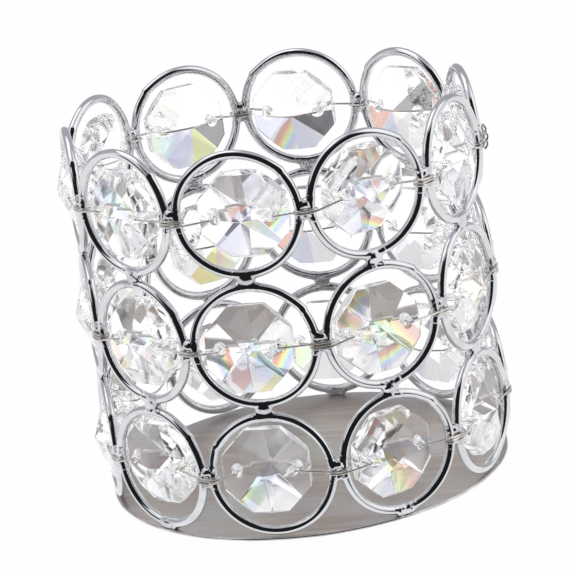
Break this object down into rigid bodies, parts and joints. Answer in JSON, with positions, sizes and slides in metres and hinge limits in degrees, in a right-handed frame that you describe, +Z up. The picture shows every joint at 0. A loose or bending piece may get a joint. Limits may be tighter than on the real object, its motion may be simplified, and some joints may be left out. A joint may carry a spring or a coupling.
{
  "type": "candle holder",
  "caption": "Round drum of chromed wire rings welded in stacked tiers on a thin steel plate, each ring holding a faceted glass octagon that rocks on a binding wire.",
  "frame": {"origin": "middle of the base plate's underside, on the drum's axis", "axes": "+Z up along the drum's axis, -Y towards the middle of the front column of rings"},
  "size_m": [0.0733, 0.0718, 0.065],
  "materials": {
    "chromed_wire": "polished",
    "plate_steel": "brushed",
    "binding_wire": "satin",
    "bead_glass": "polished, faceted"
  },
  "bodies": {
    "drum": {"base_plate": "plate_steel", "ring_column_01": "chromed_wire", "ring_column_02": "chromed_wire", "ring_column_03": "chromed_wire", "ring_column_04": "chromed_wire", "ring_column_05": "chromed_wire", "ring_column_06": "chromed_wire", "ring_column_07": "chromed_wire", "ring_column_08": "chromed_wire", "ring_column_09": "chromed_wire", "ring_column_10": "chromed_wire", "binding_wire_bottom": "binding_wire", "binding_wire_middle": "binding_wire", "binding_wire_top": "binding_wire"},
    "bead_bottom_01": {"bead_bottom_01": "bead_glass"},
    "bead_bottom_02": {"bead_bottom_02": "bead_glass"},
    "bead_bottom_03": {"bead_bottom_03": "bead_glass"},
    "bead_bottom_04": {"bead_bottom_04": "bead_glass"},
    "bead_bottom_05": {"bead_bottom_05": "bead_glass"},
    "bead_bottom_06": {"bead_bottom_06": "bead_glass"},
    "bead_bottom_07": {"bead_bottom_07": "bead_glass"},
    "bead_bottom_08": {"bead_bottom_08": "bead_glass"},
    "bead_bottom_09": {"bead_bottom_09": "bead_glass"},
    "bead_bottom_10": {"bead_bottom_10": "bead_glass"},
    "bead_middle_01": {"bead_middle_01": "bead_glass"},
    "bead_middle_02": {"bead_middle_02": "bead_glass"},
    "bead_middle_03": {"bead_middle_03": "bead_glass"},
    "bead_middle_04": {"bead_middle_04": "bead_glass"},
    "bead_middle_05": {"bead_middle_05": "bead_glass"},
    "bead_middle_06": {"bead_middle_06": "bead_glass"},
    "bead_middle_07": {"bead_middle_07": "bead_glass"},
    "bead_middle_08": {"bead_middle_08": "bead_glass"},
    "bead_middle_09": {"bead_middle_09": "bead_glass"},
    "bead_middle_10": {"bead_middle_10": "bead_glass"},
    "bead_top_01": {"bead_top_01": "bead_glass"},
    "bead_top_02": {"bead_top_02": "bead_glass"},
    "bead_top_03": {"bead_top_03": "bead_glass"},
    "bead_top_04": {"bead_top_04": "bead_glass"},
    "bead_top_05": {"bead_top_05": "bead_glass"},
    "bead_top_06": {"bead_top_06": "bead_glass"},
    "bead_top_07": {"bead_top_07": "bead_glass"},
    "bead_top_08": {"bead_top_08": "bead_glass"},
    "bead_top_09": {"bead_top_09": "bead_glass"},
    "bead_top_10": {"bead_top_10": "bead_glass"}
  },
  "joints": [
    {"name": "bead_bottom_01_rock", "type": "hinge", "parent": "drum", "child": "bead_bottom_01", "pos_m": [-0.00092, -0.03238, 0.01189], "axis": [1, 0, 0], "range_deg": [-10, 10]},
    {"name": "bead_bottom_02_rock", "type": "hinge", "parent": "drum", "child": "bead_bottom_02", "pos_m": [0.0184, -0.02665, 0.01144], "axis": [0.7431, 0.6691, 0], "range_deg": [-10, 10]},
    {"name": "bead_bottom_03_rock", "type": "hinge", "parent": "drum", "child": "bead_bottom_03", "pos_m": [0.03079, -0.01, 0.01151], "axis": [0.309, 0.9511, 0], "range_deg": [-10, 10]},
    {"name": "bead_bottom_04_rock", "type": "hinge", "parent": "drum", "child": "bead_bottom_04", "pos_m": [0.03066, 0.01041, 0.01101], "axis": [-0.2588, 0.9659, 0], "range_deg": [-10, 10]},
    {"name": "bead_bottom_05_rock", "type": "hinge", "parent": "drum", "child": "bead_bottom_05", "pos_m": [0.01943, 0.0259, 0.01144], "axis": [-0.848, 0.5299, 0], "range_deg": [-10, 10]},
    {"name": "bead_bottom_06_rock", "type": "hinge", "parent": "drum", "child": "bead_bottom_06", "pos_m": [-0.00057, 0.03238, 0.0113], "axis": [-0.9994, 0.0349, 0], "range_deg": [-10, 10]},
    {"name": "bead_bottom_07_rock", "type": "hinge", "parent": "drum", "child": "bead_bottom_07", "pos_m": [-0.01903, 0.02619, 0.01094], "axis": [-0.7771, -0.6293, 0], "range_deg": [-10, 10]},
    {"name": "bead_bottom_08_rock", "type": "hinge", "parent": "drum", "child": "bead_bottom_08", "pos_m": [-0.03066, 0.01041, 0.01158], "axis": [-0.3746, -0.9272, 0], "range_deg": [-10, 10]},
    {"name": "bead_bottom_09_rock", "type": "hinge", "parent": "drum", "child": "bead_bottom_09", "pos_m": [-0.0307, -0.01027, 0.0113], "axis": [0.342, -0.9397, 0], "range_deg": [-10, 10]},
    {"name": "bead_bottom_10_rock", "type": "hinge", "parent": "drum", "child": "bead_bottom_10", "pos_m": [-0.01932, -0.02598, 0.01222], "axis": [0.8387, -0.5446, 0], "range_deg": [-10, 10]},
    {"name": "bead_middle_01_rock", "type": "hinge", "parent": "drum", "child": "bead_middle_01", "pos_m": [-0.00099, -0.03238, 0.03247], "axis": [1, 0, 0], "range_deg": [-10, 10]},
    {"name": "bead_middle_02_rock", "type": "hinge", "parent": "drum", "child": "bead_middle_02", "pos_m": [0.01857, -0.02652, 0.0324], "axis": [0.8387, 0.5446, 0], "range_deg": [-10, 10]},
    {"name": "bead_middle_03_rock", "type": "hinge", "parent": "drum", "child": "bead_middle_03", "pos_m": [0.03079, -0.01, 0.0329], "axis": [0.2756, 0.9613, 0], "range_deg": [-10, 10]},
    {"name": "bead_middle_04_rock", "type": "hinge", "parent": "drum", "child": "bead_middle_04", "pos_m": [0.03066, 0.01041, 0.03311], "axis": [-0.309, 0.9511, 0], "range_deg": [-10, 10]},
    {"name": "bead_middle_05_rock", "type": "hinge", "parent": "drum", "child": "bead_middle_05", "pos_m": [0.01926, 0.02602, 0.03262], "axis": [-0.8387, 0.5446, 0], "range_deg": [-10, 10]},
    {"name": "bead_middle_06_rock", "type": "hinge", "parent": "drum", "child": "bead_middle_06", "pos_m": [-0.00064, 0.03238, 0.03304], "axis": [-0.9976, 0.0698, 0], "range_deg": [-10, 10]},
    {"name": "bead_middle_07_rock", "type": "hinge", "parent": "drum", "child": "bead_middle_07", "pos_m": [-0.01857, 0.02652, 0.0329], "axis": [-0.766, -0.6428, 0], "range_deg": [-10, 10]},
    {"name": "bead_middle_08_rock", "type": "hinge", "parent": "drum", "child": "bead_middle_08", "pos_m": [-0.03086, 0.0098, 0.03269], "axis": [-0.309, -0.9511, 0], "range_deg": [-10, 10]},
    {"name": "bead_middle_09_rock", "type": "hinge", "parent": "drum", "child": "bead_middle_09", "pos_m": [-0.03083, -0.00987, 0.03304], "axis": [0.2756, -0.9613, 0], "range_deg": [-10, 10]},
    {"name": "bead_middle_10_rock", "type": "hinge", "parent": "drum", "child": "bead_middle_10", "pos_m": [-0.01926, -0.02602, 0.0329], "axis": [0.8387, -0.5446, 0], "range_deg": [-10, 10]},
    {"name": "bead_top_01_rock", "type": "hinge", "parent": "drum", "child": "bead_top_01", "pos_m": [0.00099, -0.03238, 0.0545], "axis": [1, 0, 0], "range_deg": [-10, 10]},
    {"name": "bead_top_02_rock", "type": "hinge", "parent": "drum", "child": "bead_top_02", "pos_m": [0.01886, -0.02632, 0.05536], "axis": [0.7431, 0.6691, 0], "range_deg": [-10, 10]},
    {"name": "bead_top_03_rock", "type": "hinge", "parent": "drum", "child": "bead_top_03", "pos_m": [0.03083, -0.00987, 0.05457], "axis": [0.3584, 0.9336, 0], "range_deg": [-10, 10]},
    {"name": "bead_top_04_rock", "type": "hinge", "parent": "drum", "child": "bead_top_04", "pos_m": [0.0307, 0.01027, 0.05436], "axis": [-0.342, 0.9397, 0], "range_deg": [-10, 10]},
    {"name": "bead_top_05_rock", "type": "hinge", "parent": "drum", "child": "bead_top_05", "pos_m": [0.01943, 0.0259, 0.05457], "axis": [-0.848, 0.5299, 0], "range_deg": [-10, 10]},
    {"name": "bead_top_06_rock", "type": "hinge", "parent": "drum", "child": "bead_top_06", "pos_m": [-0.00099, 0.03238, 0.05415], "axis": [-0.9986, 0.0523, 0], "range_deg": [-10, 10]},
    {"name": "bead_top_07_rock", "type": "hinge", "parent": "drum", "child": "bead_top_07", "pos_m": [-0.01955, 0.02582, 0.0545], "axis": [-0.809, -0.5878, 0], "range_deg": [-10, 10]},
    {"name": "bead_top_08_rock", "type": "hinge", "parent": "drum", "child": "bead_top_08", "pos_m": [-0.03079, 0.01, 0.05422], "axis": [-0.2588, -0.9659, 0], "range_deg": [-10, 10]},
    {"name": "bead_top_09_rock", "type": "hinge", "parent": "drum", "child": "bead_top_09", "pos_m": [-0.03072, -0.01021, 0.05472], "axis": [0.309, -0.9511, 0], "range_deg": [-10, 10]},
    {"name": "bead_top_10_rock", "type": "hinge", "parent": "drum", "child": "bead_top_10", "pos_m": [-0.01937, -0.02594, 0.05422], "axis": [0.766, -0.6428, 0], "range_deg": [-10, 10]}
  ]
}
